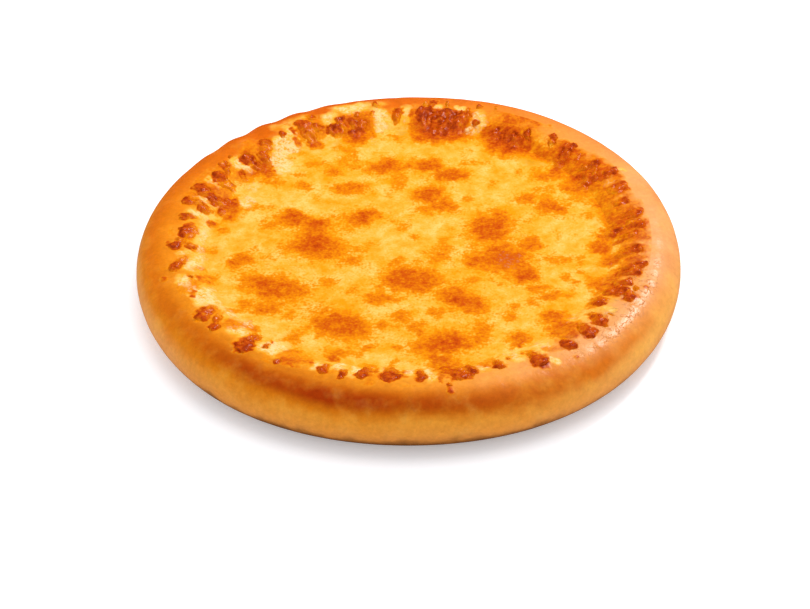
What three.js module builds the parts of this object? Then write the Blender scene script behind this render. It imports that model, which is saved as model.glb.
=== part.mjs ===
import * as THREE from 'three';
import { mergeVertices } from 'three/addons/utils/BufferGeometryUtils.js';

// A whole, uncut cheese pizza: a thick rolled dough rim, pinched into folds on its inside,
// round a layer of melted cheese that climbs each fold as a browned clot.
// Millimetres, +Z up. The origin is under the middle, on the face that the pizza rests on.
// Azimuth 0 is +X, 90 is +Y (the back), and every surface is a height at an azimuth and a radius.

// Rim
const rimRadius = 140; // mean radius at the widest place
const widestHeight = 14; // how high the widest place is
const baseTuck = 16; // how far the flat base stays inside the widest place
const crestRadius = 123.5;
const crestHeight = 30.2;
const rimLobes = [ // slow waves of the outline: how many round the rim, depth, where one peaks
  { waves: 2, depth: 0.35, peak: 82 },
  { waves: 3, depth: 0.95, peak: 67 },
  { waves: 4, depth: 0.45, peak: 53 },
  { waves: 5, depth: 0.39, peak: 14 },
];
const ripple = { from: 100, to: 152, pitch: 9, depth: 0.5 }; // lumpy stretch at the back left, degrees

// Well that holds the cheese
const wellFloorHeight = 17.7;
const wellFloorRadius = 93;
const wellTopRadius = 98;
const wellTopHeight = 22.4;

// Folds
const tongueEnd = 101; // radius where the dough between two clots goes under the cheese
const tongueBulge = 1.5; // how far the dough between two folds swells
const grooveDepth = 2.8; // how far a fold is pressed in under its clot
const grooveRun = 7; // the length in which a groove deepens, outwards from the well
const grooveHead = 3.5; // the length of the steep slope at a groove's head
const crestPinch = 0.8; // how far the crest dips at the head of a fold
const pinchLength = 9; // how far that dip runs in from the crest

// Cheese
const gap = 0.3; // clearance between the cheese and the dough
const cheeseEdge = 1.3; // thickness along the outline
const clotSwell = 1.7; // how much thicker the middle of a clot is
const cheeseWave = 0.45; // unevenness of the melted middle
const clotCrag = 0.45; // craggy relief of the browned clots
const clotBluntness = 0.35; // from 0, square ends, to 1, smooth waves

// Each fold: azimuth of its middle and width in degrees, and the radius its clot climbs to.
const folds = [
  [2, 6, 120], [8, 4, 121], [13.5, 3.5, 116], [19, 5, 120], [25.5, 4, 121.5], [31.5, 5, 117.5],
  [39.5, 8, 118.5], [46.5, 3.5, 117], [53.5, 7, 114], [61.5, 8, 112], [80, 16, 119.5],
  [92.5, 5, 117], [107, 14, 114.5], [118, 7, 117], [132.5, 5, 117.5], [138, 7, 116],
  [146.5, 4, 117], [151.5, 6, 116], [158.5, 7, 120.5], [165.5, 4, 120.5], [171, 3.5, 117],
  [176.5, 6, 118], [182.5, 4, 120.5], [190, 8, 121.5], [197, 4.5, 115], [211, 6, 121.5],
  [218, 4, 121], [226, 7.5, 122], [240, 9.5, 119.5], [248.5, 4, 116.5], [258.5, 5, 116],
  [265, 6, 118], [272, 3.5, 118], [281, 6, 119], [290.5, 5.5, 115.5], [301, 5, 122],
  [309.5, 5, 121], [316, 6, 121.5], [323, 6, 120], [333, 11, 122], [344, 8, 121], [353.5, 6, 118],
];

// Mesh
const azimuthSteps = 180;
const lowerSideSteps = 4;
const upperSideSteps = 6;
const slopeSteps = 4; // from the crest down to the cheese's outline, and again on down to the well
const cheeseTopRadii = [36, 60, 78, 90];

const degrees = Math.PI / 180;
const cosine = (angle) => Math.cos(angle * degrees);
const sine = (angle) => Math.sin(angle * degrees);
const blend = (from, to, share) => from + (to - from) * share;
const share = (value, from, to) => Math.min(1, Math.max(0, (value - from) / (to - from)));
const soft = (t) => t * t * (3 - 2 * t);
const steps = (count) => Array.from({ length: count }, (_, i) => (i + 1) / count);

function azimuthBetween(a, b) {
  return Math.abs(((a - b + 540) % 360) - 180);
}

function rippleAt(azimuth) {
  const { from, to, pitch, depth } = ripple;
  const fade = sine(180 * share(azimuth, from, to));
  return depth * fade * cosine((360 * (azimuth - from)) / pitch);
}

function outerRadius(azimuth) {
  const waves = rimLobes.map(({ waves, depth, peak }) => depth * cosine(waves * (azimuth - peak)));
  return rimRadius + waves.reduce((sum, wave) => sum + wave, 0) + rippleAt(azimuth);
}

// How much of a fold is at an azimuth, from 0 on a dough tongue to 1 on a fold's middle,
// and the radius the cheese climbs to there.
function foldAt(azimuth) {
  let fullness = 0;
  let reach = tongueEnd;
  for (const [middle, width, tip] of folds) {
    const across = soft(1 - share(azimuthBetween(azimuth, middle), width * 0.12, width * 0.62));
    fullness = Math.max(fullness, across);
    reach = Math.max(reach, blend(tongueEnd, tip, across ** clotBluntness));
  }
  return { fullness, reach };
}

function crestAt(azimuth) {
  const wobble = 0.4 * cosine(3 * (azimuth - 20)) + 0.3 * cosine(7 * (azimuth - 11));
  return crestHeight + wobble + rippleAt(azimuth);
}

// Top of the dough from the crest down to the top of the well.
function doughHeight(azimuth, radius) {
  const { fullness, reach } = foldAt(azimuth);
  const up = share(radius, wellTopRadius, crestRadius);
  const slope = blend(wellTopHeight, crestAt(azimuth), Math.sin((up * Math.PI) / 2));
  const pressed = radius < reach
    ? soft(share(radius, wellTopRadius, wellTopRadius + grooveRun))
    : 1 - soft(share(radius, reach, Math.min(reach + grooveHead, crestRadius)));
  const pinch = crestPinch * fullness * soft(share(radius, crestRadius - pinchLength, crestRadius));
  const tongue = tongueBulge * (1 - fullness) * sine(180 * share(radius, tongueEnd, crestRadius));
  return slope - grooveDepth * fullness * pressed - pinch + tongue;
}

function cheeseTopHeight(azimuth, radius) {
  const { fullness, reach } = foldAt(azimuth);
  if (radius < wellTopRadius) {
    const level = wellTopHeight + gap + cheeseEdge;
    const wave = cosine(2 * azimuth + 40) * sine(3.1 * radius) + cosine(5 * azimuth) * sine(4.7 * radius);
    return level + cheeseWave * wave * share(wellTopRadius - radius, 0, 20);
  }
  const out = share(radius, wellTopRadius, reach);
  const crag = clotCrag * Math.sin(azimuth * 2.3) * Math.sin(radius * 1.1);
  const swell = fullness * (clotSwell + crag) * Math.sin(out * Math.PI);
  return doughHeight(azimuth, radius) + gap + cheeseEdge + swell;
}

// A closed turned body. Each ring of its outline is a function that gives the radius and the
// height at an azimuth; the first and the last ring lie on the axis. An outline that runs from
// the top down is turned inside out by the lathe, so its faces are turned back.
function turnedBody(rings, fromTheTop) {
  const outline = rings.map((ring) => new THREE.Vector2(...ring(0)));
  const geometry = new THREE.LatheGeometry(outline, azimuthSteps);
  const { position } = geometry.attributes;
  for (let i = 0; i < position.count; i += 1) {
    const azimuth = ((Math.floor(i / rings.length) % azimuthSteps) * 360) / azimuthSteps;
    const [radius, height] = rings[i % rings.length](azimuth);
    position.setXYZ(i, radius * cosine(azimuth), radius * sine(azimuth), height);
  }
  geometry.deleteAttribute('normal');
  geometry.deleteAttribute('uv');
  const body = mergeVertices(geometry, 1e-4);
  for (let i = 0; fromTheTop && i < body.index.count; i += 3) {
    const [second, third] = [body.index.getX(i + 1), body.index.getX(i + 2)];
    body.index.setX(i + 1, third).setX(i + 2, second);
  }
  return body;
}

// The stretch of dough under the cheese, which the cheese's underside follows at the gap.
const clotShares = steps(slopeSteps);
function underCheese(out, lift) {
  return (azimuth) => {
    const radius = blend(wellTopRadius, foldAt(azimuth).reach, out);
    return [radius, doughHeight(azimuth, radius) + lift];
  };
}

function crustRings() {
  const underside = [
    () => [0, 0],
    () => [rimRadius / 2, 0],
    (azimuth) => [outerRadius(azimuth) - baseTuck, 0],
  ];
  const lowerSide = steps(lowerSideSteps).map((t) => (azimuth) => [
    outerRadius(azimuth) - baseTuck * (1 - sine(90 * t)),
    widestHeight * (1 - cosine(90 * t)),
  ]);
  const upperSide = steps(upperSideSteps).map((t) => (azimuth) => {
    const pinch = crestPinch * foldAt(azimuth).fullness * soft(t);
    return [
      blend(crestRadius, outerRadius(azimuth), cosine(90 * t)),
      blend(widestHeight, crestAt(azimuth) - pinch, sine(90 * t)),
    ];
  });
  const innerSlope = clotShares.map((t) => (azimuth) => {
    const radius = blend(crestRadius, foldAt(azimuth).reach, t);
    return [radius, doughHeight(azimuth, radius)];
  });
  const seat = clotShares.map((t) => underCheese(1 - t, 0));
  const floor = [() => [wellFloorRadius, wellFloorHeight], () => [0, wellFloorHeight]];
  return [...underside, ...lowerSide, ...upperSide, ...innerSlope, ...seat, ...floor];
}

// From the middle of the top outwards, down the outline's edge and back along the dough, so
// that the underside's facets match the dough's.
function cheeseRings() {
  const middle = [0, ...cheeseTopRadii].map((radius) => (azimuth) => [
    radius,
    cheeseTopHeight(radius === 0 ? 0 : azimuth, radius),
  ]);
  const clots = [0, ...clotShares].map((t) => (azimuth) => {
    const radius = blend(wellTopRadius, foldAt(azimuth).reach, t);
    return [radius, cheeseTopHeight(azimuth, radius)];
  });
  const underside = [0, ...clotShares].map((t) => underCheese(1 - t, gap));
  const floor = [
    () => [wellFloorRadius - gap, wellFloorHeight + gap],
    () => [0, wellFloorHeight + gap],
  ];
  return [...middle, ...clots, ...underside, ...floor];
}

const bakedDough = new THREE.MeshStandardMaterial({ color: 0xd88a3c, roughness: 0.45, metalness: 0 });
const meltedCheese = new THREE.MeshStandardMaterial({ color: 0xf2b143, roughness: 0.4, metalness: 0 });

const crust = new THREE.Mesh(turnedBody(crustRings()), bakedDough);
crust.name = 'crust';

const cheese = new THREE.Mesh(turnedBody(cheeseRings(), true), meltedCheese);
cheese.name = 'cheese';

// The slow waves move the outline's middle a little, so both pieces are centred on its box.
const pizza = new THREE.Group();
crust.geometry.computeBoundingBox();
const middle = crust.geometry.boundingBox.getCenter(new THREE.Vector3());
pizza.position.set(-middle.x, -middle.y, 0);
pizza.add(crust, cheese);

export default pizza;
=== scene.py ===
import itertools
import math

import bmesh
import bpy
import numpy as np
from mathutils import Matrix, Vector


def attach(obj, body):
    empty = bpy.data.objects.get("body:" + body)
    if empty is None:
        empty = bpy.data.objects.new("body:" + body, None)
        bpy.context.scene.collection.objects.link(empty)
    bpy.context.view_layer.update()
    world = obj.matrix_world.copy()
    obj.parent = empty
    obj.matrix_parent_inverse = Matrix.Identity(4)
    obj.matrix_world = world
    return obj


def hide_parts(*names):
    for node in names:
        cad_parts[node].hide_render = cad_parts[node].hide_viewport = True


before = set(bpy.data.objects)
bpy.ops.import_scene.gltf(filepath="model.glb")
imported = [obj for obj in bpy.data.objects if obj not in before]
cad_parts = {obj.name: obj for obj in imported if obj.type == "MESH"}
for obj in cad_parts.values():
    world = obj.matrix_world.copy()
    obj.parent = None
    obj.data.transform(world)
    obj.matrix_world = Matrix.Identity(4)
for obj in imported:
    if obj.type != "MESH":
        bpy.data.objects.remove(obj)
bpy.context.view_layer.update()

mm = 0.001

# Sizes are in millimetres and azimuths in degrees: 0 is +X, 90 is the back, 270 the front.
# Relief is given as (depth, size, seed), with a number of octaves where it has finer grain too.


def share(value, start, end):
    return np.clip((value - start) / (end - start), 0.0, 1.0)


def soft(t):
    return t * t * (3 - 2 * t)


def blendTo(start, end, t):
    return start + (end - start) * t


def bell(distance, spread):
    return np.exp(-(distance / spread) ** 2)


def sine(angle):
    return np.sin(np.radians(angle))


def cosine(angle):
    return np.cos(np.radians(angle))


def turnBetween(a, b):
    return (a - b + 540) % 360 - 180


def smoothMax(a, b, width):
    near = np.maximum(0.0, width - np.abs(a - b)) / width
    return np.maximum(a, b) + near * near * width / 4


# Random relief: each octave is finer and fainter, and every seed and octave is shifted apart.
grain = {"table": 32, "finer": 2.1, "fainter": 0.55, "seedShift": 19.7, "octaveShift": 5.3}
slopeTable = np.random.default_rng(5).normal(size=(grain["table"], grain["table"], grain["table"], 3))


def lump(place, size, seed, octaves=1):
    # smooth random relief, mostly between -1 and 1, whose lumps are size millimetres across
    total = np.zeros(len(place))
    for octave in range(octaves):
        spot = place * (grain["finer"] ** octave / size)
        spot = spot + grain["seedShift"] * seed + grain["octaveShift"] * octave
        corner = np.floor(spot).astype(int)
        inside = spot - corner
        fade = inside ** 3 * (inside * (inside * 6 - 15) + 10)
        for step in itertools.product((0, 1), repeat=3):
            near = (corner + step) % grain["table"]
            slope = slopeTable[near[:, 0], near[:, 1], near[:, 2]]
            weight = np.prod(np.where(step, fade, 1 - fade), axis=1)
            total += grain["fainter"] ** octave * weight * np.sum(slope * (inside - step), axis=1)
    return total


def lumps(place, kinds):
    # several kinds of relief together
    return sum(depth * lump(place, *kind) for depth, *kind in kinds)


def flatPlace(azimuth, radius, height=0.0):
    parts = np.broadcast_arrays(radius * cosine(azimuth), radius * sine(azimuth), height)
    return np.stack(parts, axis=-1).astype(float)


rim = {
    "radius": 140.0,  # mean, at the widest place
    "widestHeight": 14.0,
    "baseTuck": 16.0,  # the flat base stays this far inside
    "crestRadius": 123.5,
    "crestHeight": 30.2,
    "waves": ((2, 0.35, 82), (3, 0.95, 67), (4, 0.45, 53), (5, 0.39, 14)),  # count, depth, peak
    "crestWaves": ((3, 0.4, 20), (7, 0.3, 11)),
    "rippleFrom": 100,  # where the lumpy stretch at the back left starts
    "rippleTo": 152,
    "ripplePitch": 9,
    "rippleDepth": 0.5,
}
well = {"floorHeight": 17.7, "floorRadius": 93.0, "topRadius": 98.0, "topHeight": 22.4}


def wavesAt(azimuth, waves):
    return sum(depth * cosine(count * (azimuth - peak)) for count, depth, peak in waves)


def ripple(azimuth):
    fade = sine(180 * share(azimuth, rim["rippleFrom"], rim["rippleTo"]))
    wave = cosine(360 * (azimuth - rim["rippleFrom"]) / rim["ripplePitch"])
    return rim["rippleDepth"] * fade * wave


def outerRadius(azimuth):
    return rim["radius"] + wavesAt(azimuth, rim["waves"]) + ripple(azimuth)


def crestAt(azimuth):
    return rim["crestHeight"] + wavesAt(azimuth, rim["crestWaves"]) + ripple(azimuth)


folds = {
    "tongueEnd": 101.0,  # where the dough between two clots goes under the cheese
    "tongueBulge": 0.5,
    "grooveDepth": 2.8,
    "grooveRun": 7.0,
    "grooveClot": (0.4, 0.95),  # how full a clot starts a groove, and presses it right in
    "crestPinch": 0.3,
    "pinchLength": 9.0,
    "pinchTip": 116,  # only a clot that climbs past this radius
    "pinchWidth": 2.2,  # and is wider than this, in degrees, pinches the crest
    "pinchReach": 0.8,  # how far it does so to each side, in widths of the clot
    "grainRadius": 110.0,  # relief that follows the folds is laid out round this radius
    "grainSquash": 0.55,  # and squashed along it, so that its lumps come out longer
}

# Browned clots and crumbs, each drawn out along its fold: azimuth and radius of its outer end
# and of its inner end, width in degrees, and how dark it is baked.
clots = [
    (1.0, 120, 2.5, 111, 4.5, 0.85), (2, 109, 2, 98, 6.5, 0.75), (0.5, 101, 358, 95, 7, 0.5),
    (6.2, 121.5, 6.2, 110.5, 3.6, 0.85), (13.4, 117.5, 12, 108, 3.8, 0.7),
    (18.6, 121.5, 18, 108.5, 5, 0.75), (22, 120, 21.6, 116, 1.2, 0.5),
    (26, 122.5, 23.8, 109, 2.8, 0.8), (27.6, 111, 26, 97, 5, 0.75), (28.8, 114.5, 27, 110, 1.6, 0.7),
    (31, 119, 31.5, 105, 3, 0.75), (36.8, 117, 35.4, 107, 2.6, 0.65), (41.8, 119, 38.6, 99, 4, 0.9),
    (38, 103, 34.5, 91, 6, 0.5), (47.8, 119, 45.4, 109, 2, 0.85), (55.5, 114.5, 52.5, 107, 1.8, 0.9),
    (58, 110, 56.5, 98.5, 7.5, 0.75), (62.5, 112, 64, 99, 5, 0.65), (65.5, 110, 66, 96, 3.4, 0.55),
    (70.3, 112.5, 69.8, 107, 1.8, 0.9), (73.3, 121.5, 73.6, 117, 1.2, 0.7),
    (74.3, 116.5, 75.4, 101, 5, 0.95), (79, 118, 78.5, 103, 6, 1.05), (79.5, 105, 80.5, 93, 9, 0.8),
    (84.8, 119, 84.2, 98, 6, 0.95), (86.5, 110, 86, 96, 4, 0.6), (88.2, 118, 88.5, 105, 1.8, 0.6),
    (79, 126, 79.2, 119, 1.3, 0.9), (83, 127.5, 83.6, 116, 1.9, 0.85),
    (85.2, 124.5, 85.4, 119, 1.2, 0.8), (71.2, 125.5, 71, 121.5, 1.9, 0.9),
    (66.8, 128, 66.6, 124.5, 1.2, 0.8), (51.3, 125, 51, 122, 1.2, 0.6), (92.5, 118, 93, 108, 2.6, 0.8),
    (97.5, 124.5, 97.6, 119.5, 1.8, 0.75), (99.2, 117.5, 99.6, 112, 1.6, 0.7),
    (102, 112.5, 104.6, 103, 3.6, 0.95), (103.2, 119, 103.5, 113, 1.1, 0.7),
    (105, 113.5, 105.6, 107, 2.4, 0.9), (105.9, 107, 106.4, 97.5, 3, 1.05),
    (108, 116, 109.5, 105, 2.8, 0.95), (110.8, 111, 110.5, 104, 5, 1.05),
    (112.8, 112.5, 113, 106, 2.4, 0.85), (115.2, 123, 115.6, 118.5, 3, 0.85),
    (115, 116, 116.2, 109, 2.8, 0.9), (118.6, 121, 119, 101, 4.6, 0.75),
    (119, 105, 118.6, 97.5, 4, 0.6), (122.4, 118, 122, 110, 1.2, 0.6),
    (125.8, 117.5, 126.1, 113, 2, 0.9), (123.4, 111, 123.6, 101, 1.5, 0.6),
    (131, 118, 133.6, 109.5, 4.2, 0.85), (135, 112, 135.5, 100, 3.4, 0.75),
    (139.6, 115.5, 139.3, 101, 4, 1.0), (138.6, 104, 139, 92, 4.4, 0.7),
    (142.2, 120, 142.2, 117.5, 1.3, 0.9), (145.4, 119, 148.4, 111, 3, 0.7),
    (144, 108, 147.4, 103, 2.2, 0.65), (150.2, 118, 152.8, 103.5, 4.8, 0.82),
    (157.6, 121.5, 159.2, 109, 4.8, 1.0), (159.6, 112, 160.2, 99, 4, 0.95),
    (157, 103, 161.5, 94, 5, 0.95), (163, 104, 164.4, 97, 3.4, 0.75),
    (164.4, 122, 164, 112, 3.6, 0.95), (164.6, 113, 166.4, 105, 3.6, 0.75),
    (171.4, 119.5, 169.2, 111.5, 2.6, 0.85), (172, 99, 172.5, 94, 4, 0.45),
    (168.5, 104, 171.5, 100.5, 2.4, 0.65), (176.2, 117.8, 176.6, 108.8, 6.6, 1.1),
    (184, 122, 179.6, 113.8, 3.2, 0.95), (183.6, 113, 180.8, 109.4, 3.4, 0.75),
    (193.2, 122.5, 186.6, 112.8, 2.8, 0.9), (196.3, 116, 195.6, 112.5, 1.6, 0.7),
    (196.6, 111, 196.4, 104, 4, 0.55), (195, 129, 195, 125.5, 2, 0.85),
    (204.8, 118.5, 200.4, 113.5, 1.5, 0.6), (213.6, 124, 209.9, 110.5, 4.2, 1.0),
    (218.9, 123, 212.8, 110.5, 2.2, 0.85), (228.7, 125, 225.6, 105.5, 3.8, 1.1),
    (232.2, 114.5, 230.4, 108.5, 1.4, 0.75), (231.6, 108, 229.4, 103.5, 0.8, 0.6),
    (238.1, 122.3, 237.4, 118, 1.9, 0.95), (240.6, 120.5, 240, 104, 8.4, 0.42),
    (241, 120.3, 241, 116.5, 5, 0.6), (244.6, 113, 244, 106.5, 1.1, 0.6),
    (248.3, 119, 248.6, 108.5, 2.6, 0.85), (247.6, 104, 248, 96, 5, 0.55),
    (253.8, 121, 253.2, 111, 1.5, 0.9), (258.3, 118.3, 258.6, 102, 3, 0.9),
    (260.8, 113, 260.8, 104, 1.6, 0.6), (265, 119.5, 264.3, 102, 5, 0.9),
    (271.7, 119.8, 272.1, 105.5, 2.5, 0.9), (276.2, 121, 277, 107, 1.2, 0.55),
    (281, 121, 281.2, 107, 4.8, 1.0), (278.4, 114, 278, 95, 5, 0.65),
    (284.3, 118.4, 284, 105.5, 2.1, 0.9), (290.3, 117.8, 291.4, 107, 2.6, 0.9),
    (288.2, 114, 287.6, 105, 2, 0.5), (294.2, 111.5, 295, 106.5, 1.3, 0.65),
    (300, 126.3, 300.4, 109.5, 3.5, 1.0), (298, 111.5, 299.6, 106.5, 1.2, 0.55),
    (302, 103, 302, 94.5, 5.5, 0.55), (308.4, 123.4, 309.8, 110.5, 3.2, 0.95),
    (277.8, 129.5, 278.5, 121, 1.0, 0.9), (307, 130, 307.4, 126.5, 0.8, 0.7),
    (315.2, 123.8, 316.8, 109.5, 3.5, 1.0), (312.6, 118.5, 312.4, 100, 3.4, 0.45),
    (316.2, 112, 315.4, 99, 4, 0.45), (315.8, 99, 316.4, 91, 5.5, 0.45),
    (319.7, 121.6, 323, 109, 3.2, 0.95), (324, 121.3, 323.8, 119, 1.2, 0.7),
    (329.6, 127, 329.4, 125, 1, 0.7), (313.6, 130.5, 313.4, 129.3, 0.7, 0.8),
    (317.4, 128.2, 317, 127.2, 0.6, 0.8), (322.5, 129.6, 322.4, 128.4, 0.7, 0.7),
    (305.4, 132.4, 305.4, 131.2, 0.8, 0.8), (309.2, 131.4, 309, 130.4, 0.6, 0.7),
    (331.3, 124.5, 334.4, 114.5, 3.4, 1.05), (334.2, 119, 332.6, 105.5, 5, 1.0),
    (327.4, 112.5, 329.6, 102, 4.4, 0.8), (338.2, 119, 336.6, 107.5, 3, 0.75),
    (335.9, 122.6, 336.2, 119.5, 1.4, 0.95), (337.4, 126.5, 337.2, 124, 1.6, 0.75),
    (336, 104, 336, 97, 4.6, 0.42), (342.4, 121.3, 341.4, 107, 3.6, 0.8),
    (345.6, 121.8, 343.4, 109, 2.9, 0.85), (351.1, 119.5, 351, 117, 1, 0.7),
    (352.6, 118.5, 349.6, 105, 4, 0.8), (350, 109, 346, 96.5, 5.6, 0.62),
    (359, 117, 355.4, 101, 3.4, 0.7), (357, 119, 355.8, 113, 2, 0.5),
]
clotShape = {
    "turnRelief": ((0.5, 8, 1), (0.55, 3, 2)),  # how its sides wander, in degrees
    "endRelief": ((1.0, 7, 3), (1.0, 2.8, 4)),
    "foldRelief": ((1.3, 2, 9),),  # frays its ends along the folds
    "raggedness": ((0.35, 2.2, 8),),
    "taper": 0.4,  # how much narrower it gets inwards
    "side": (0.35, 1.25),  # in half widths, where it starts to thin and where it ends
    "stainSide": (0.35, 1.7),  # the same for its browning
    "tip": (-0.8, 1.2),  # in millimetres from its outer end, where it starts and where it is full
    "tail": (0.7, 1.25),  # in lengths, where it starts to fade and where it ends
    "fade": 0.6,  # how much less its inner end is browned
    "raised": (0.5, 0.75),  # up to the first darkness it is a flat stain, from the second full
}


def ringPlace(azimuth, radius):
    # a place for relief that is drawn out along the folds
    return flatPlace(azimuth, folds["grainRadius"], folds["grainSquash"] * radius)


def foldAt(azimuth, radius):
    # Three fields from 0 to 1: how much of a clot fills the groove here, how browned the cheese
    # is, and how much the crest is pinched in above it.
    place, shape = flatPlace(azimuth, radius), clotShape
    turned = azimuth + lumps(place, shape["turnRelief"])
    edge = radius + lumps(place, shape["endRelief"])
    edge = edge + lumps(ringPlace(azimuth, radius), shape["foldRelief"])
    ragged = lumps(place, shape["raggedness"])
    clot, scorch, pinch = np.zeros((3, len(place)))
    for tipAzimuth, tip, innerAzimuth, inner, width, dark in clots:
        arc = math.radians(1) * (tip + inner) / 2  # the length of a degree
        run = turnBetween(innerAzimuth, tipAzimuth) * arc
        fall = tip - inner
        length = math.hypot(run, fall)
        x = turnBetween(turned, tipAzimuth) * arc
        y = tip - edge
        along = (x * run + y * fall) / length ** 2  # 0 at the tip, 1 at the inner end
        out = along * length
        half = width * arc / 2 * (1.1 - shape["taper"] * share(along, 0.3, 1))
        half = half * np.sqrt(0.15 + 0.85 * share(out, -0.5, width * arc * 0.45))  # a round tip
        away = np.abs(x * fall - y * run) / length / half + ragged
        ends = share(out, *shape["tip"]) * (1 - soft(share(along, *shape["tail"])))
        here = (1 - share(away, *shape["side"])) * ends
        clot = np.maximum(clot, here * share(dark, *shape["raised"]))
        baked = dark * (1 - shape["fade"] * soft(share(along, 0, 0.95)))
        baked = baked * (1 - soft(share(away, *shape["stainSide"]))) * ends
        scorch = np.maximum(scorch, baked)
        if tip > folds["pinchTip"] and width > folds["pinchWidth"]:
            beside = np.abs(turnBetween(azimuth, tipAzimuth))
            pinch = np.maximum(pinch, 1 - share(beside, 0, width * folds["pinchReach"]))
    return clot, scorch, soft(pinch)


def slopeHeight(azimuth, radius):
    up = share(radius, well["topRadius"], rim["crestRadius"])
    return blendTo(well["topHeight"], crestAt(azimuth), np.sin(up * math.pi / 2))


def doughHeight(azimuth, radius, clot, pinch):
    crest, top = rim["crestRadius"], well["topRadius"]
    groove = soft(share(clot, *folds["grooveClot"]))
    pressed = folds["grooveDepth"] * groove * soft(share(radius, top, top + folds["grooveRun"]))
    dip = folds["crestPinch"] * pinch * soft(share(radius, crest - folds["pinchLength"], crest))
    tongue = folds["tongueBulge"] * (1 - groove) * sine(180 * share(radius, folds["tongueEnd"], crest))
    return slopeHeight(azimuth, radius) - pressed - dip + tongue


# Patches on the slope: azimuth, half width in degrees, inner and outer radius, strength.
# Cream ones are pale and bumpy, and a few are painted glints and highlights; amber ones are greasy, with
# painted shade at the foot of the slope; and baked ones orange.
patches = {
    "cream": [
        (70, 3, 102, 119, 0.7), (75.5, 1.6, 116, 122, 1), (81.5, 1.8, 118, 123, 0.8),
        (90, 1.6, 108, 119, 0.6), (97.5, 2.2, 101, 118, 1), (101.5, 1.4, 90, 100, 0.5),
        (111.5, 2.6, 112, 121, 0.8), (122.5, 2, 111, 119, 0.8), (127.5, 4.6, 101, 115, 1),
        (133.5, 4, 90, 107, 1), (142.5, 2.2, 104, 117, 0.8), (147, 4, 91, 102, 0.45),
        (153.5, 2.4, 108, 119, 1), (156, 4, 88, 97, 1), (168, 1.8, 107, 116, 1),
        (161.8, 1.2, 104, 118, 0.7), (174, 6, 102, 109, 0.7), (184, 8, 103, 109, 0.7),
        (185.4, 1.4, 110, 118, 0.6), (190.5, 3.6, 107, 116, 0.8), (197.5, 3, 115, 121, 0.9),
        (205, 5.5, 105, 119, 0.85), (213, 4, 103, 110, 0.7), (222.5, 3, 109, 117, 0.9),
        (233, 3.4, 102, 118, 1), (246.5, 1.2, 108, 117, 0.8), (251.3, 1.8, 103, 114, 0.9),
        # from 262 to 287: pale cheese between the front clots, with a painted highlight
        (255.6, 1.6, 105, 117, 1), (262, 1, 103, 112, 0.7), (269.3, 1.4, 103, 113, 0.8),
        (274.4, 1.4, 105, 119, 0.8), (287, 1, 108, 117, 0.6), (296.5, 2, 100, 116, 0.5),
        # 302.3, which reaches the crest, is a painted glint
        (302.3, 0.9, 116, 128, 1), (304.5, 3, 103, 116, 0.5), (320, 4, 99, 107, 0.4),
        (325.5, 1.6, 112, 120, 0.5), (24.6, 1, 122, 126, 1), (22, 1.4, 110, 116, 0.6),
        # 341 is painted glints on a greasy blister
        (341, 14, 44, 60, 0.27), (104, 5, 117, 126.5, 0.85), (97, 2.4, 120, 126, 0.45),
        (119, 4, 118, 125, 0.4), (125, 2.5, 119, 125, 0.35), (219.5, 3, 100, 108, 0.7),
    ],
    # greasy cheese, and painted shade where the slope meets the level
    "amber": [
        (15, 11, 96, 108, 0.5), (11.5, 1.5, 98, 109, 0.5), (17, 2.4, 100, 109, 0.5),
        (30, 5, 93, 104, 0.6), (48, 7, 93, 108, 0.75), (54, 4, 104, 112, 0.6), (64, 6, 97, 108, 0.5),
        (90, 3.4, 93, 104, 0.7), (110, 5, 90, 103, 0.5), (120, 5, 97, 103, 0.4),
        (328, 3, 112, 118, 0.6), (343, 8, 94, 101, 0.4), (233, 3, 94, 100, 0.5),
        (274, 1.2, 103, 111, 0.4), (183, 4, 95, 101, 0.4), (165, 7, 91, 96, 0.6),
    ],
    "baked": [
        (348, 13, 106, 123, 0.34), (337, 6, 100, 112, 0.3), (4, 7, 103, 123, 0.4),
        (16, 7, 106, 120, 0.3), (28, 8, 99, 123, 0.42), (41, 7, 100, 119, 0.44),
        (59, 8, 97, 112, 0.62), (59, 9, 110, 127, 0.3), (79, 10, 95, 118, 0.62),
        (104, 6, 98, 118, 0.38), (117, 5, 104, 122, 0.25), (137, 5, 96, 118, 0.3),
        (147, 4, 104, 120, 0.15), (159, 6, 98, 122, 0.3), (313, 5, 100, 118, 0.25),
        (280, 6, 98, 118, 0.2), (196, 3, 99, 109, 0.2), (290, 4, 103, 117, 0.15),
        (27, 5, 91, 100, 0.3), (58, 6, 90, 100, 0.32), (83, 6, 90, 99, 0.38), (107, 4, 91, 101, 0.3),
        (163, 5, 91, 100, 0.38), (355, 4.5, 91, 102, 0.38), (14, 7, 99, 107, 0.26),
        (50, 5, 99, 108, 0.33), (142, 7, 98, 107, 0.26), (105.5, 3, 100, 107, 0.3),
    ],
}
patchSeeds = {"cream": 31, "amber": 35, "baked": 39}


def patchAt(kind, azimuth, radius):
    place, seed = flatPlace(azimuth, radius), patchSeeds[kind]
    turned = azimuth + lumps(place, ((1.2, 8, seed), (0.5, 3, seed + 1)))
    edge = radius + lumps(place, ((2.0, 7, seed + 2), (0.8, 2.5, seed + 3)))
    left = np.ones(len(place))
    for middle, half, inner, outer, strength in patches[kind]:
        sides = 1 - share(np.abs(turnBetween(turned, middle)), half * 0.4, half * 1.2)
        ends = share(edge, inner - 2, inner + 4) * (1 - share(edge, outer - 3, outer + 2))
        left *= 1 - strength * sides * ends
    return 1 - left


# The slow waves move the outline's middle a little: every piece is centred on its box.
everyAzimuth = np.arange(0, 360, 0.5)
outline = flatPlace(everyAzimuth, outerRadius(everyAzimuth))
boxMiddle = Vector((outline.max(axis=0) + outline.min(axis=0)) / 2)


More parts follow.
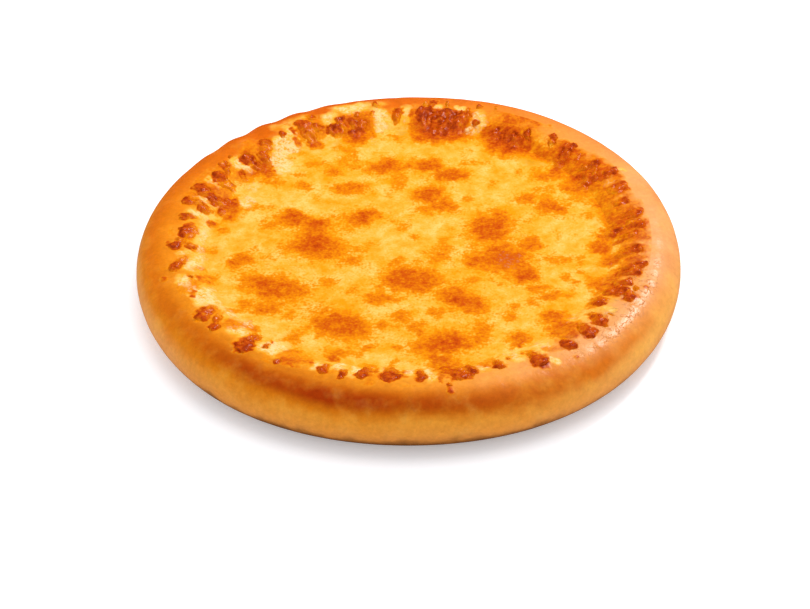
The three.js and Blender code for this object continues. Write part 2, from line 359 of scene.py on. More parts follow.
def finishPiece(name, mesh, nodes, material):
    mesh.transform(Matrix.Translation(-boxMiddle * mm))
    mesh.materials.append(material)
    for face in mesh.polygons:
        face.use_smooth = True
    piece = bpy.data.objects.new(name, mesh)
    bpy.context.scene.collection.objects.link(piece)
    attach(piece, "root")
    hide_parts(*nodes)


def sharesUpTo(count):
    return [(i + 1) / count for i in range(count)]


def wrappedBody(name, rings, steps, surfaces):
    # A grid is wrapped round the axis, one row for each ring. Each ring is (surface, t), and
    # surfaces[surface](azimuth, t) gives its places and the layers that colour it.
    bm = bmesh.new()
    bmesh.ops.create_grid(bm, x_segments=steps, y_segments=len(rings) - 1, size=1)
    mesh = bpy.data.meshes.new(name)
    bm.to_mesh(mesh)
    flat = np.zeros(len(mesh.vertices) * 3)
    mesh.vertices.foreach_get("co", flat)
    places = flat.reshape(-1, 3)
    column = np.rint((places[:, 0] + 1) / 2 * steps).astype(int) % steps
    row = np.rint((places[:, 1] + 1) / 2 * (len(rings) - 1)).astype(int)
    azimuth = column * 360 / steps
    kinds = np.array([kind for kind, _ in rings])[row]
    t = np.array([t for _, t in rings], float)[row]
    layers = {}
    for kind, surface in surfaces.items():
        here = kinds == kind
        places[here], values = surface(azimuth[here], t[here])
        for layer, value in values.items():
            layers.setdefault(layer, np.zeros(len(places)))[here] = value
    mesh.vertices.foreach_set("co", (places * mm).ravel())
    for layer, value in layers.items():
        mesh.attributes.new(layer, "FLOAT", "POINT").data.foreach_set("value", value)
    bm.clear()
    bm.from_mesh(mesh)
    bmesh.ops.remove_doubles(bm, verts=bm.verts[:], dist=0.001 * mm)
    bmesh.ops.recalc_face_normals(bm, faces=bm.faces[:])
    bm.to_mesh(mesh)
    bm.free()
    return mesh


def linear(hexColour):
    # sRGB hex, such as "D98A35", to the linear colour that a shader takes
    parts = [int(hexColour[i:i + 2], 16) / 255 for i in (0, 2, 4)]
    return [p / 12.92 if p <= 0.04045 else ((p + 0.055) / 1.055) ** 2.4 for p in parts] + [1.0]


def addNode(tree, kind, links=None, stops=None, **settings):
    # links: socket name or number -> a value or an output to link from; stops fill a colour ramp.
    # A colour Mix has its factor in socket 0, its colours in 6 and 7 and its result in output 2.
    new = tree.nodes.new("ShaderNode" + kind)
    for key, value in settings.items():
        setattr(new, key, value)
    for key, value in (links or {}).items():
        if isinstance(value, bpy.types.NodeSocket):
            tree.links.new(value, new.inputs[key])
        else:
            new.inputs[key].default_value = value
    for number, (position, colour) in enumerate(stops or ()):
        ramp = new.color_ramp.elements
        stop = ramp[number] if number < 2 else ramp.new(position)
        stop.position = position
        stop.color = linear(colour)
    return new.outputs


def startMaterial(name):
    material = bpy.data.materials.new(name)
    material.use_nodes = True
    tree = material.node_tree
    tree.nodes.clear()
    return material, tree


# Melted cheese: a disc that climbs the slope in the folds, with blisters and craggy clots
cheese = {
    "steps": 960,
    "level": 24.0,
    "levelRelief": ((0.4, 45, 21), (0.2, 9, 22, 2), (0.06, 2.5, 23, 2)),
    "edgeRise": 0.9,  # how much the level climbs towards the slope
    "edgeRiseOver": (80, 98),
    "levelSink": 4.0,  # how deep the level ends up under the slope
    "levelSinkOver": (103, 112),
    "slopeStart": (92, 97),  # where the level starts to give way to the slope, and has done so
    "blend": 2.4,  # how widely the level and the clots run into one another
    "innerRadius": 94.0,
    "innerRings": 42,
    "outerRadius": 124.2,
    "outerRings": 44,
    "underRadii": (124, 118, 110, 104, 99),
    "underDepth": 2.6,  # how far the underside runs under the top of the dough
    "floorRadii": (92, 46, 0),
    "floorHeight": 18.0,
    "topLimit": 31.2,  # keeps the clots inside the solids' box
    "clotRise": 1.0,  # how far the middle of a clot stands over the slope
    "clotRelief": ((0.3, 6, 27),),
    "clotPush": ((0.5, 2.8, 29),),  # how far a clot's relief overhangs outwards,
    "clotTwist": 0.4,  # and sideways, in degrees to a millimetre
    "sunk": 1.3,  # how far the sheet lies under the slope beside a clot
    "cragDepth": 0.9,
    "cragSize": 4.2,
    "cragScorch": (0.1, 0.6),  # how browned a clot is when it starts to be craggy, and is fully so
    "crumbs": ((0.3, 1.7, 26),),  # along the folds
    "roundCrumbs": ((0.35, 1.6, 45, 2),),
    "creamRelief": ((0.6, 3.2, 28, 2),),
    "amberRelief": ((0.15, 4, 28),),
    "blisterRise": 0.35,
    "plainTones": ((0.36, "EEC062"), (0.52, "EAAA36"), (0.66, "E69206")),
    "bakedTones": (
        (0.04, "EC9E0C"), (0.16, "E68A00"), (0.3, "DC7800"), (0.46, "CE6200"), (0.68, "C24A02"),
        (1.0, "9C3000"),
    ),
    # greasy amber, which also paints the shade at the foot of the slope
    "greasyAndShadeTone": "CC880A",
    # also paints the glints and highlights among the cream patches
    "creamTone": "F4CC8C",
    "cloudSize": 10.0,  # pale and deep yellow run into one another over this distance
    "mottleSize": 3.03,
    "speckSize": 1.333,  # the smallest that still shows: the real grain is finer
    "roughness": 0.3,
    "ior": 1.45,
    "specular": 0.05,  # low, or a pale haze lies over the orange
    "grease": 0.3,  # how much clear grease coats a clot
    "greaseRoughness": 0.2,
    "greaseIor": 1.5,
    "bumpDepth": 0.8,
    "bumpStrength": (0.42, 0.62),  # on the level, and on a clot
}
# Browned blisters: where they are, length and width, the azimuth they point along, darkness.
blisters = [
    (-12, 69, 19, 13, 0, 0.9), (10, 69, 15, 12, 0, 0.9), (23, 60, 15, 10, 0, 0.9),
    (-40, 66, 10, 8, 0, 0.5), (-30, 49, 17, 10, 0, 0.65), (-55, 53, 9, 8, 0, 0.55),
    (11, 42, 15, 14, 0, 0.8), (19, 31, 11, 10, 0, 0.7), (8, 27, 10, 8, 0, 0.5),
    (62, 37, 12, 9, 0, 0.55), (75, 28, 15, 11, 0, 0.9), (-23, 23, 19, 12, 0, 0.9),
    (-60, 23, 15, 12, 0, 0.9), (-48, 17, 14, 11, 0, 0.9), (-73, 18, 9, 7, 0, 0.45),
    (-47, -1, 26, 20, -20, 1.0), (-28, -14, 10, 9, 0, 0.55), (-85, -12, 11, 9, 0, 0.7),
    (43, 12, 22, 20, 60, 0.95), (62, -3, 12, 9, 0, 0.7), (47, -16, 24, 20, 0, 1.0),
    (34, -16, 9, 8, 0, 0.5), (58, -31, 12, 11, 0, 0.95), (69, -47, 11, 9, 0, 0.7),
    (0, -30, 24, 20, 0, 1.0), (-68, -35, 30, 17, -25, 1.0), (-41, -32, 10, 7, 0, 0.4),
    (-70, -53, 14, 11, 0, 0.55), (-18, -46, 12, 8, 0, 0.55), (27, -50, 24, 15, -35, 0.95),
    (-4, -61, 12, 9, 0, 0.5), (-35, -67, 27, 18, -25, 1.0), (16, -83, 28, 17, 10, 1.0),
    (14, -97, 14, 8, 0, 0.65), (69, -64, 13, 10, 0, 0.8), (73, -73, 12, 8, 0, 0.65),
    (53, -80, 10, 9, 0, 0.65), (-35, -90, 14, 7, 0, 0.5), (-21, -86, 9, 6, 0, 0.4),
    (93, -38, 12, 9, 0, 0.7), (79, -18, 10, 8, 0, 0.45), (16, -13, 11, 8, 0, 0.4),
    (73, 56, 13, 9, 0, 0.55), (-49, 73, 10, 7, 0, 0.4), (-5, 96, 10, 7, 0, 0.4),
]
blisterShape = {
    "xRelief": ((3, 11, 11), (1.5, 4, 12)),
    "yRelief": ((3, 11, 13), (1.5, 4, 14)),
    "raggedness": ((0.25, 3, 16),),
    "shrink": 2.15,  # over 2, because the soft edge adds to the length and width
    "brown": 0.54,
    "brownEdge": (0.3, 1.7),
    "halo": 0.09,  # golden, round the brown
    "haloEdge": (0.9, 3),
    "faint": 0.2,  # how browned the cheese is between blisters
    "faintFront": 0.1,  # and how much more so towards the front,
    "faintFrontOver": (-10, 50),  # from here to here in front of the middle
    "faintSize": 13,
    "mottle": ((0.3, 5, 15),),
}


def blisterAt(azimuth, radius):
    # how browned the melted cheese is: blisters with ragged, soft edges
    place, shape = flatPlace(azimuth, radius), blisterShape
    x = place[:, 0] + lumps(place, shape["xRelief"])
    y = place[:, 1] + lumps(place, shape["yRelief"])
    ragged = lumps(place, shape["raggedness"])
    left = np.ones(len(place))
    for centreX, centreY, length, width, slant, dark in blisters:
        along = (x - centreX) * cosine(slant) + (y - centreY) * sine(slant)
        over = (y - centreY) * cosine(slant) - (x - centreX) * sine(slant)
        away = np.hypot(along / length, over / width) * shape["shrink"] + ragged
        left *= 1 - shape["brown"] * dark * (1 - soft(share(away, *shape["brownEdge"])))
        left *= 1 - shape["halo"] * dark * (1 - soft(share(away, *shape["haloEdge"])))
    golden = shape["faint"] + shape["faintFront"] * share(-place[:, 1], *shape["faintFrontOver"])
    faint = golden * soft(share(lump(place, shape["faintSize"], 17, 2), 0, 0.8))
    return np.maximum(1 - left, faint) * (1 + lumps(place, shape["mottle"]))


def slopeLayers(azimuth, radius, clot, scorch):
    # the layers that colour the cheese, which the dough beside it shares
    place, ring = flatPlace(azimuth, radius), ringPlace(azimuth, radius)
    scorch = scorch * (1 + 0.3 * lump(ring, 5, 30) + 0.3 * lump(place, 2.5, 32))
    toasted = patchAt("baked", azimuth, radius) * (1.25 + 0.6 * lump(ring, 3.5, 33))
    baked = np.maximum(scorch, toasted)
    cream = patchAt("cream", azimuth, radius) * (1 - share(scorch, 0.2, 0.45))
    amber = patchAt("amber", azimuth, radius) * (1 - cream)
    ridges = 1 - 2.4 * np.abs(lump(ring, cheese["cragSize"], 25, 2))
    crumbs = lumps(ring, cheese["crumbs"]) + lumps(place, cheese["roundCrumbs"])
    crag = clot * share(scorch, *cheese["cragScorch"]) * (ridges + crumbs)
    scorch = np.maximum(blisterAt(azimuth, radius), baked * (1 - 0.7 * cream))
    return {"scorch": scorch, "cream": cream, "amber": amber, "crag": crag}


def cheeseTop(azimuth, radius):
    place = flatPlace(azimuth, radius)
    clot, scorch, _ = foldAt(azimuth, radius)
    layers = slopeLayers(azimuth, radius, clot, scorch)
    blister = cheese["blisterRise"] * blisterAt(azimuth, radius) * (1 + 0.6 * lump(place, 3, 24))
    level = cheese["level"] + lumps(place, cheese["levelRelief"]) + blister
    level += cheese["edgeRise"] * soft(share(radius, *cheese["edgeRiseOver"]))
    over = blendTo(-cheese["sunk"], cheese["clotRise"], clot * (1.5 - 0.5 * clot))
    sheet = slopeHeight(azimuth, radius) + over + clot * lumps(place, cheese["clotRelief"])
    sheet += cheese["cragDepth"] * layers["crag"]
    sinking = level - cheese["levelSink"] * share(radius, *cheese["levelSinkOver"])
    onSlope = share(radius, *cheese["slopeStart"])
    height = blendTo(level, smoothMax(sinking, sheet, cheese["blend"]), soft(onSlope))
    height += onSlope * layers["cream"] * lumps(place, cheese["creamRelief"])
    height += onSlope * layers["amber"] * lumps(place, cheese["amberRelief"])
    push = clot * lumps(place, cheese["clotPush"])
    top = np.minimum(height, cheese["topLimit"])
    return flatPlace(azimuth + push * cheese["clotTwist"], radius + push, top), layers | {"clot": clot}


def cheeseUnder(azimuth, radius):
    clot, _, pinch = foldAt(azimuth, radius)
    height = doughHeight(azimuth, radius, clot, pinch) - cheese["underDepth"]
    return flatPlace(azimuth, radius, height), {}


def cheeseFloor(azimuth, radius):
    return flatPlace(azimuth, radius, cheese["floorHeight"]), {}


def makeCheese(material):
    middle, reach = cheese["innerRadius"], cheese["outerRadius"] - cheese["innerRadius"]
    rings = [("top", 0.0)]
    rings += [("top", middle * t) for t in sharesUpTo(cheese["innerRings"])]
    rings += [("top", middle + reach * t) for t in sharesUpTo(cheese["outerRings"])]
    rings += [("under", radius) for radius in cheese["underRadii"]]
    rings += [("floor", radius) for radius in cheese["floorRadii"]]
    surfaces = {"top": cheeseTop, "under": cheeseUnder, "floor": cheeseFloor}
    mesh = wrappedBody("meltedCheese", rings, cheese["steps"], surfaces)
    finishPiece("cheeseMelt", mesh, ["cheese"], material)


def cheeseColour(tree, place):
    # The colour of melted cheese from its layers: yellow, amber where it is greasy and where shade is
    # painted at the foot of the slope, cream where it is thick and pale and in painted glints, and from
    # orange to red-brown where the oven has browned it.
    layer = {
        name: addNode(tree, "Attribute", attribute_name=name)["Fac"]
        for name in ("scorch", "cream", "amber", "crag")
    }
    cloud = addNode(tree, "TexNoise", {
        "Vector": place, "Scale": 1 / (cheese["cloudSize"] * mm), "Detail": 9, "Roughness": 0.66,
    })["Fac"]
    mottle = addNode(tree, "TexNoise", {
        "Vector": place, "Scale": 1 / (cheese["mottleSize"] * mm), "Detail": 3,
    })["Fac"]
    speck = addNode(tree, "TexNoise", {
        "Vector": place, "Scale": 1 / (cheese["speckSize"] * mm), "Detail": 2,
    })["Fac"]
    yellow = addNode(tree, "ValToRGB", {0: cloud}, stops=cheese["plainTones"])["Color"]
    # the browning, made uneven by both grains where there is more of it, with a painted highlight on a
    # crag's ridges and painted shade in its hollows
    half = addNode(tree, "Math", {0: mottle, 1: 0.5}, operation="SUBTRACT")[0]
    fine = addNode(tree, "Math", {0: speck, 1: 0.5}, operation="SUBTRACT")[0]
    amount = addNode(tree, "Math", {0: layer["scorch"], 1: 0.9, 2: 0.12}, operation="MULTIPLY_ADD")[0]
    blotch = addNode(tree, "Math", {0: half, 1: amount}, operation="MULTIPLY")[0]
    shaded = addNode(tree, "Math", {0: blotch, 1: 1.3, 2: layer["scorch"]}, operation="MULTIPLY_ADD")[0]
    coarse = addNode(tree, "Math", {0: amount, 1: 0.8, 2: 0.3}, operation="MULTIPLY_ADD")[0]
    flecked = addNode(tree, "Math", {0: fine, 1: coarse, 2: shaded}, operation="MULTIPLY_ADD")[0]
    # lighter on a crag's ridges and darker in its hollows: painted highlight and shade
    ragged = addNode(tree, "Math", {0: layer["crag"], 1: -0.08, 2: flecked}, operation="MULTIPLY_ADD")[0]
    brown = addNode(tree, "ValToRGB", {0: ragged}, stops=cheese["bakedTones"])["Color"]
    mask = addNode(tree, "MapRange", {0: ragged, 1: 0.0, 2: 0.16, 3: 0.0, 4: 1.0})[0]
    # amber: greasy, and painted shade at the foot of the slope
    golden = addNode(tree, "Mix", {
        0: layer["amber"], 6: yellow, 7: linear(cheese["greasyAndShadeTone"]),
    }, data_type="RGBA")[2]
    spotted = addNode(tree, "Mix", {0: mask, 6: golden, 7: brown}, data_type="RGBA")[2]
    # the cream and the painted glints, broken up by the same grains
    grainy = addNode(tree, "Math", {0: fine, 1: 1.2, 2: half}, operation="MULTIPLY_ADD")[0]
    reach = addNode(tree, "Math", {0: layer["cream"], 1: 3.2}, operation="MULTIPLY")[0]
    paler = addNode(tree, "Math", {0: grainy, 1: reach, 2: layer["cream"]}, operation="MULTIPLY_ADD")[0]
    paleness = addNode(tree, "MapRange", {0: paler, 1: 0.3, 2: 1.15, 3: 0.0, 4: 0.9})[0]
    pale = addNode(tree, "Mix", {
        0: paleness, 6: spotted, 7: linear(cheese["creamTone"]),
    }, data_type="RGBA")[2]
    return pale, mottle, speck


def meltedCheeseFinish():
    # Melted yellow cheese, baked: a satin surface, browned in blisters, that glistens with
    # grease on the clots
    material, tree = startMaterial("meltedCheese")
    place = addNode(tree, "TexCoord")["Object"]
    colour, mottle, speck = cheeseColour(tree, place)
    clot = addNode(tree, "Attribute", attribute_name="clot")["Fac"]
    relief = addNode(tree, "Math", {0: speck, 1: 0.5, 2: mottle}, operation="MULTIPLY_ADD")[0]
    flat, full = cheese["bumpStrength"]
    depth = addNode(tree, "MapRange", {0: clot, 1: 0.0, 2: 1.0, 3: flat, 4: full})[0]
    bump = addNode(tree, "Bump", {
        "Height": relief, "Strength": depth, "Distance": cheese["bumpDepth"] * mm,
    })[0]
    grease = addNode(tree, "Math", {0: clot, 1: cheese["grease"]}, operation="MULTIPLY")[0]
    shader = addNode(tree, "BsdfPrincipled", {
        "Base Color": colour, "Roughness": cheese["roughness"], "IOR": cheese["ior"],
        "Specular IOR Level": cheese["specular"], "Normal": bump,
        "Coat Weight": grease, "Coat Roughness": cheese["greaseRoughness"],
        "Coat IOR": cheese["greaseIor"], "Coat Normal": bump,
    })[0]
    addNode(tree, "OutputMaterial", {"Surface": shader})
    return material


# Dough: the whole crust, from the flat base over the rolled rim and down to the well
dough = {
    "steps": 960,
    "baseRings": (0, 0.35, 0.7, 0.95, 1),  # as shares of the base's radius
    "lowerRings": 12,
    "upperRings": 26,
    "slopeRings": 44,
    "floorRings": (1, 0.5, 0),  # as shares of the well's radius
    "slopeEnd": 97.5,
    "baseInset": 0.1,  # keeps the edge of the base inside the solid's
    "skinHeight": 30.0,  # the skin's relief is laid out from the widest place to here
    "skinDent": 0.3,  # how uneven the skin is
    "skinRelief": ((0.35, 30, 5, 3),),
    "slopeRelief": ((0.2, 5, 6),),
    "crumbRise": 0.5,  # how far a crumb stands over the crest
    "smearRelief": ((1.8, 7, 43), (0.8, 3, 44)),
    "smearEdge": (108, 120),  # inside the first radius cheese is smeared over all the slope
    "creamEnd": 132,  # no cream lies outside this radius
    "glazeEdge": (111, 120),  # inside the first radius there is no glaze, from the second all
    # tones of the skin: strength, the azimuth where it is strongest, how far it spreads
    # the right side: paler, pinker skin, with a painted sheen of the light from the back right
    "paleSideAndSheen": (0.9, 2, 43),
    "paleLow": (0.7, 192, 28),  # only the lower side
    # the crest's pale tint is a painted sheen
    "paintedCrestSheen": (0.5, 305, 24),  # only the crest
    "toast": (0.94, 255, 44),  # the dark band
    "toastBack": (0.15, 105, 45),
    "toastAbove": (0.1, 243, 24),  # where the band fades more slowly upwards
    "ruddy": (1, 112, 60),  # the crest, a deep orange
    "golden": (1, 329, 19),  # the side, at its brightest
    "honey": (1, 313, 18),  # clear orange blotches on the shoulder
    "glaze": (1, 328, 30),  # the crest, shining, with fine cracks
    "toastMiddle": 0.62,  # where on the side the toast band is darkest
    "toastSlant": 0.14,  # and how much lower it gets over the next 45 degrees
    "toastSpread": (0.2, 0.3),  # below and above that
    "toastRound": 0.08,  # how toasted it is all round
    "baseTone": -0.24,  # how brown the base is: from -0.4, darkest, to 0, golden
    "lowRind": 1.3,  # over 1 where no smear of cheese may show: on the base and low on the side
    "sideTones": (  # from the base up the side to the crest, and down to the cheese
        # the two darkest tones, low on the side, are painted shade under the curve of the rim
        (0.2, "7A481C"), (0.245, "A06226"), (0.285, "CA8034"), (0.33, "DA8C34"), (0.41, "E0902C"),
        (0.48, "DC8010"), (0.56, "DA7606"), (0.62, "E28208"), (0.67, "E88E14"),
    ),
    "ruddyTone": "DA6200",
    # pale skin, which also paints the sheen on the right side and on the crest
    "paleTone": "ECA264",
    "goldenTone": "F0AA4C",
    "toastTone": "A03400",
    "crackTone": "A05020",
    "patchSize": 11.1,
    "crackleSize": 4.76,
    "poreSize": 2.38,  # the real pores are finer, and wouldn't show
    "roughness": 0.5,
    "ior": 1.45,
    "specular": 0.05,  # low, for the same reason as the cheese's
    "glazeRoughness": 0.33,
    "glazeIor": 1.5,
    "bumpDepth": 0.8,
    "bumpStrength": 0.32,
}


def nearTo(azimuth, strength, middle, spread):
    return strength * bell(turnBetween(azimuth, middle), spread)


def skinLayers(azimuth, side, place):
    # side: -1 at the base, 0 at the widest place, 1 at the crest
    patch = lump(place, 24, 41, 2)
    low = 1 - share(side, 0.05, 0.45)
    # paler skin: on the right with a painted sheen, and low on the left side
    pale = nearTo(azimuth, *dough["paleSideAndSheen"]) + nearTo(azimuth, *dough["paleLow"]) * low
    # and a painted sheen on the crest, at the front right
    pale = pale + nearTo(azimuth, *dough["paintedCrestSheen"]) * soft(share(side + 0.1 * patch, 0.72, 1))
    _, toastAzimuth, _ = dough["toast"]
    turn = turnBetween(azimuth, toastAzimuth)
    bandSide = np.clip(dough["toastMiddle"] - turn / 45 * dough["toastSlant"], 0.4, 0.8)
    off = side + 0.04 * patch - bandSide
    below, above = dough["toastSpread"]
    above = above + nearTo(azimuth, *dough["toastAbove"])
    band = bell(off, np.where(off > 0, above, below))
    front = dough["toastRound"] + nearTo(azimuth, *dough["toast"]) + nearTo(azimuth, *dough["toastBack"])
    honey = nearTo(azimuth, *dough["honey"]) * bell(side + 0.1 * patch - 0.5, 0.16)
    honey = np.clip(honey * (0.9 + 0.8 * lump(place, 9, 46)), 0, 1)
    plain = 1 - 0.8 * honey
    return {
        "profile": side + 0.06 * patch,
        "toast": band * front * (1 + 0.12 * lump(place, 14, 42)),
        "pale": pale * (1 + 0.3 * patch) * plain,
        "golden": nearTo(azimuth, *dough["golden"]) * bell(side - 0.3, 0.28) * plain,
        "ruddy": nearTo(azimuth, *dough["ruddy"]) * soft(share(side, 0.1, 0.75)) + 0.35 * honey,
        "glaze": nearTo(azimuth, *dough["glaze"]) * soft(share(side, 0.45, 0.8)),
        "rind": blendTo(1.0, dough["lowRind"], share(-side, 0.0, 0.3)),
    }


def doughBase(azimuth, t):
    # browned all over, whatever the side above it looks like
    radius = outerRadius(azimuth) - rim["baseTuck"] - dough["baseInset"]
    place = flatPlace(azimuth, t * radius)
    edge = share(t, 0.95, 1)
    layers = {name: value * edge for name, value in skinLayers(azimuth, -1.0, place).items()}
    layers["profile"] = blendTo(dough["baseTone"], layers["profile"], edge)
    layers["rind"] = dough["lowRind"]
    return place, layers


def doughFloor(azimuth, t):
    return flatPlace(azimuth, t * well["floorRadius"], well["floorHeight"]), {"rind": 0.0}


def skinSink(place):
    # the skin is uneven, but only inwards, so that the rim keeps its size
    return dough["skinDent"] * (0.5 + lumps(place, dough["skinRelief"]))


def doughLower(azimuth, t):
    place = flatPlace(azimuth, rim["radius"], rim["widestHeight"] * t)
    radius = outerRadius(azimuth) - rim["baseTuck"] * (1 - sine(90 * t)) - t * skinSink(place)
    height = rim["widestHeight"] * (1 - cosine(90 * t))
    return flatPlace(azimuth, radius, height), skinLayers(azimuth, t - 1, place)


def doughUpper(azimuth, t):
    place = flatPlace(azimuth, rim["radius"], blendTo(rim["widestHeight"], dough["skinHeight"], t))
    radius = blendTo(rim["crestRadius"], outerRadius(azimuth) - skinSink(place), cosine(90 * t))
    clot, scorch, pinch = foldAt(azimuth, radius)
    crest = crestAt(azimuth) - folds["crestPinch"] * pinch * soft(t) - t * skinSink(place)
    height = blendTo(rim["widestHeight"], crest, sine(90 * t))
    layers = skinLayers(azimuth, t, place)
    layers["scorch"] = scorch
    # cream, and the painted glint on the crest
    layers["cream"] = patchAt("cream", azimuth, radius) * (radius < dough["creamEnd"])
    return flatPlace(azimuth, radius, height + dough["crumbRise"] * clot), layers


def doughSlope(azimuth, t):
    radius = blendTo(rim["crestRadius"], dough["slopeEnd"], t)
    place = flatPlace(azimuth, radius)
    clot, scorch, pinch = foldAt(azimuth, radius)
    shared = slopeLayers(azimuth, radius, clot, scorch)
    cream = shared["cream"]
    upper = flatPlace(azimuth, rim["radius"], dough["skinHeight"])
    height = doughHeight(azimuth, radius, clot, pinch) - (1 - t) * skinSink(upper)
    relief = lumps(place, dough["slopeRelief"]) + (0.12 + 0.5 * cream) * lump(place, 3, 7, 2)
    rise = dough["crumbRise"] * clot * (1 - share(t, 0, 0.12))
    edge = radius + lumps(place, dough["smearRelief"])
    layers = skinLayers(azimuth, 1.0, upper) | shared
    layers["profile"] = layers["profile"] + t
    layers["toast"] = layers["toast"] * (1 - soft(share(t, 0, 0.3)))
    layers["glaze"] = layers["glaze"] * soft(share(radius, *dough["glazeEdge"]))
    layers["rind"] = soft(share(edge, *dough["smearEdge"])) * (1 - cream)
    return flatPlace(azimuth, radius, height + share(t, 0, 0.1) * relief + rise), layers


def makeDough(material):
    rings = [("base", t) for t in dough["baseRings"]]
    rings += [("lower", t) for t in sharesUpTo(dough["lowerRings"])]
    rings += [("upper", t) for t in sharesUpTo(dough["upperRings"])]
    rings += [("slope", t) for t in sharesUpTo(dough["slopeRings"])]
    rings += [("floor", t) for t in dough["floorRings"]]
    surfaces = {
        "base": doughBase, "lower": doughLower, "upper": doughUpper, "slope": doughSlope,
        "floor": doughFloor,
    }
    mesh = wrappedBody("bakedDough", rings, dough["steps"], surfaces)
    finishPiece("doughRim", mesh, ["crust"], material)


def bakedDoughFinish():
    # Oven-baked yeast dough, brushed before baking: satin golden skin, toasted on the shoulder
    # and paler down the side, with fine wrinkles, and smeared with cheese inside the crest.
    # The pale tone paints a sheen on the right and on the crest, and the darkest side tones paint shade
    # low on the side.
    material, tree = startMaterial("bakedDough")
    place = addNode(tree, "TexCoord")["Object"]
    names = ("profile", "toast", "pale", "golden", "ruddy", "glaze", "rind", "scorch", "cream")
    layer = {name: addNode(tree, "Attribute", attribute_name=name)["Fac"] for name in names}
    melted, mottle, speck = cheeseColour(tree, place)
    patch = addNode(tree, "TexNoise", {
        "Vector": place, "Scale": 1 / (dough["patchSize"] * mm), "Detail": 5,
    })["Fac"]
    half = addNode(tree, "Math", {0: patch, 1: 0.5}, operation="SUBTRACT")[0]
    # the skin, from the tones up its side to the toasted band
    spread = addNode(tree, "Math", {0: half, 1: 0.5, 2: layer["profile"]}, operation="MULTIPLY_ADD")[0]
    skin = addNode(tree, "MapRange", {0: spread, 1: -1.0, 2: 2.0, 3: 0.0, 4: 1.0})[0]
    tone = addNode(tree, "ValToRGB", {0: skin}, stops=dough["sideTones"])["Color"]
    uneven = {0: half, 1: 0.5, 2: layer["toast"]}
    layer["toast"] = addNode(tree, "Math", uneven, operation="MULTIPLY_ADD")[0]
    for name in ("ruddy", "pale", "golden", "toast"):
        over = {0: layer[name], 6: tone, 7: linear(dough[name + "Tone"])}
        tone = addNode(tree, "Mix", over, data_type="RGBA")[2]
    # the cheese smeared over the slope, and baked on where there is a crumb or cream
    edge = addNode(tree, "Math", {
        0: half, 1: 0.8, 2: layer["rind"],
    }, operation="MULTIPLY_ADD", use_clamp=True)[0]
    smeared = addNode(tree, "Mix", {0: edge, 6: melted, 7: tone}, data_type="RGBA")[2]
    bare = addNode(tree, "Math", {0: layer["scorch"], 1: layer["cream"]}, operation="MAXIMUM")[0]
    covered = addNode(tree, "MapRange", {0: bare, 1: 0.05, 2: 0.4, 3: 0.0, 4: 1.0})[0]
    stained = addNode(tree, "Mix", {0: covered, 6: smeared, 7: melted}, data_type="RGBA")[2]
    # fine cracks where the glaze is thickest
    crackle = addNode(tree, "TexNoise", {
        "Vector": place, "Scale": 1 / (dough["crackleSize"] * mm), "Detail": 5,
    })["Fac"]
    off = addNode(tree, "Math", {0: crackle, 1: 0.5}, operation="SUBTRACT")[0]
    ridge = addNode(tree, "Math", {0: off}, operation="ABSOLUTE")[0]
    line = addNode(tree, "MapRange", {0: ridge, 1: 0.002, 2: 0.02, 3: 1.0, 4: 0.0})[0]
    core = addNode(tree, "MapRange", {0: layer["glaze"], 1: 0.45, 2: 0.9, 3: 0.0, 4: 1.0})[0]
    crack = addNode(tree, "Math", {0: line, 1: core}, operation="MULTIPLY")[0]
    darker = addNode(tree, "Math", {0: crack, 1: 0.55}, operation="MULTIPLY")[0]
    cracked = addNode(tree, "Mix", {
        0: darker, 6: stained, 7: linear(dough["crackTone"]),
    }, data_type="RGBA")[2]
    # pores, which shade the colour
    pore = addNode(tree, "TexNoise", {
        "Vector": place, "Scale": 1 / (dough["poreSize"] * mm), "Detail": 5, "Roughness": 0.7,
    })["Fac"]
    shade = addNode(tree, "MapRange", {0: pore, 1: 0.3, 2: 0.7, 3: 0.88, 4: 1.1})[0]
    grained = addNode(tree, "HueSaturation", {"Color": cracked, "Value": shade})[0]
    relief = addNode(tree, "Math", {0: mottle, 1: 0.6, 2: patch}, operation="MULTIPLY_ADD")[0]
    wrinkled = addNode(tree, "Math", {0: speck, 1: 0.4, 2: relief}, operation="MULTIPLY_ADD")[0]
    creased = addNode(tree, "Math", {0: crack, 1: -0.7, 2: wrinkled}, operation="MULTIPLY_ADD")[0]
    bump = addNode(tree, "Bump", {
        "Height": creased, "Strength": dough["bumpStrength"], "Distance": dough["bumpDepth"] * mm,
    })[0]
    shader = addNode(tree, "BsdfPrincipled", {
        "Base Color": grained, "Roughness": dough["roughness"], "IOR": dough["ior"],
        "Specular IOR Level": dough["specular"], "Normal": bump,
        "Coat Weight": layer["glaze"], "Coat Roughness": dough["glazeRoughness"],
        "Coat IOR": dough["glazeIor"], "Coat Normal": bump,
    })[0]
    addNode(tree, "OutputMaterial", {"Surface": shader})
    return material


# Floor, light and camera
studio = {
    "floorSize": 6000.0,
    "floorGap": 0.05,  # a hair under the base, so that the two faces don't flicker
    "floorTone": "EEF2F8",
    "floorRoughness": 0.9,
    "floorSpecular": 0.1,
    "floorGlow": 0.28,  # lifts the shadow, as a lit sweep does
    "worldStrength": 0.8,
    "lamps": (  # name, place, diameter, power in watts
        ("softTop", (160, 260, 1350), 1200, 7.2),
        ("glint", (600, 700, 980), 200, 6.4),
    ),
    "cameraTarget": (-2.81, -20.54, 0.0),
    "cameraDistance": 1177.7,
    "cameraElevation": 37.69,
    "cameraRoll": -1.233,
    "lens": 102.62,
    "sensorWidth": 36,
}
white = (1, 1, 1, 1)


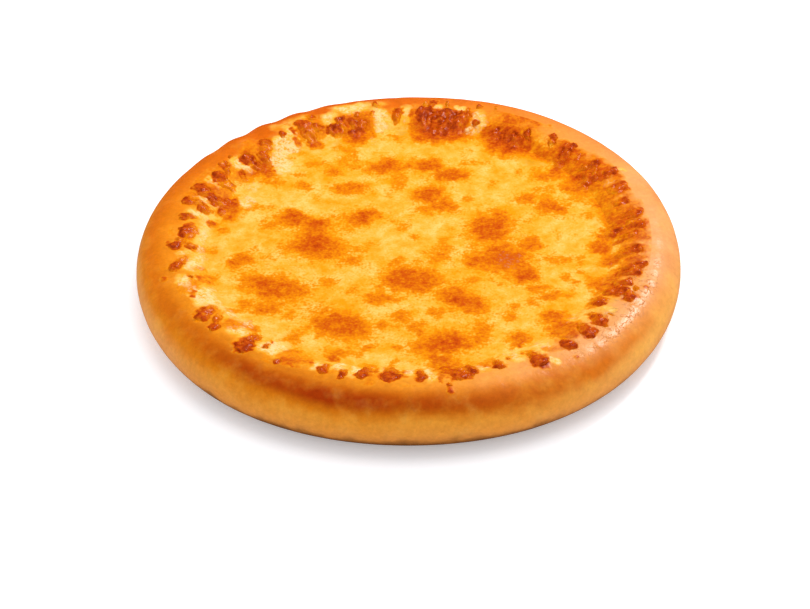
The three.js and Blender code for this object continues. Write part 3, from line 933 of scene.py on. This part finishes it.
def makeStudio():
    bm = bmesh.new()
    lower = Matrix.Translation((0, 0, -studio["floorGap"] * mm))
    half = studio["floorSize"] / 2 * mm
    bmesh.ops.create_grid(bm, x_segments=1, y_segments=1, size=half, matrix=lower)
    mesh = bpy.data.meshes.new("paleFloor")
    bm.to_mesh(mesh)
    bm.free()
    # Floor: a pale paper sweep, matt all over
    material, tree = startMaterial("paleFloor")
    shader = addNode(tree, "BsdfPrincipled", {
        "Base Color": linear(studio["floorTone"]), "Roughness": studio["floorRoughness"],
        "Specular IOR Level": studio["floorSpecular"],
        "Emission Color": white, "Emission Strength": studio["floorGlow"],
    })[0]
    addNode(tree, "OutputMaterial", {"Surface": shader})
    mesh.materials.append(material)
    floor = bpy.data.objects.new("paleFloor", mesh)
    bpy.context.scene.collection.objects.link(floor)
    floor.visible_glossy = False  # keeps its white out of the gloss of the rim
    world = bpy.data.worlds.new("softRoom")
    world.use_nodes = True
    world.cycles_visibility.glossy = False  # the room lights the pizza without a haze over it
    background = world.node_tree.nodes["Background"]
    background.inputs["Color"].default_value = white
    background.inputs["Strength"].default_value = studio["worldStrength"]
    bpy.context.scene.world = world
    for name, place, size, power in studio["lamps"]:
        lamp = bpy.data.lights.new(name, "AREA")
        lamp.shape = "DISK"
        lamp.size = size * mm
        lamp.energy = power
        holder = bpy.data.objects.new(name, lamp)
        holder.location = Vector(place) * mm
        holder.visible_glossy = name == "glint"  # the only lamp that shines in the gloss
        holder.rotation_euler = (-holder.location).to_track_quat("-Z", "Y").to_euler()
        bpy.context.scene.collection.objects.link(holder)


def makeCamera():
    camera = bpy.data.objects.new("camera", bpy.data.cameras.new("camera"))
    camera.data.lens = studio["lens"]
    camera.data.sensor_width = studio["sensorWidth"]
    target = (Vector(studio["cameraTarget"]) - boxMiddle) * mm
    elevation = math.radians(studio["cameraElevation"])
    back = Vector((0, -math.cos(elevation), math.sin(elevation)))
    camera.location = target + back * studio["cameraDistance"] * mm
    upright = Matrix.Rotation(math.pi / 2 - elevation, 4, "X")
    rolled = upright @ Matrix.Rotation(math.radians(studio["cameraRoll"]), 4, "Z")
    camera.rotation_euler = rolled.to_euler()
    bpy.context.scene.collection.objects.link(camera)
    bpy.context.scene.camera = camera


makeCamera()
makeStudio()
print("camera, floor and light")
makeDough(bakedDoughFinish())
print("dough rim")
makeCheese(meltedCheeseFinish())
print("melted cheese")

bpy.context.scene.view_settings.view_transform = "Standard"
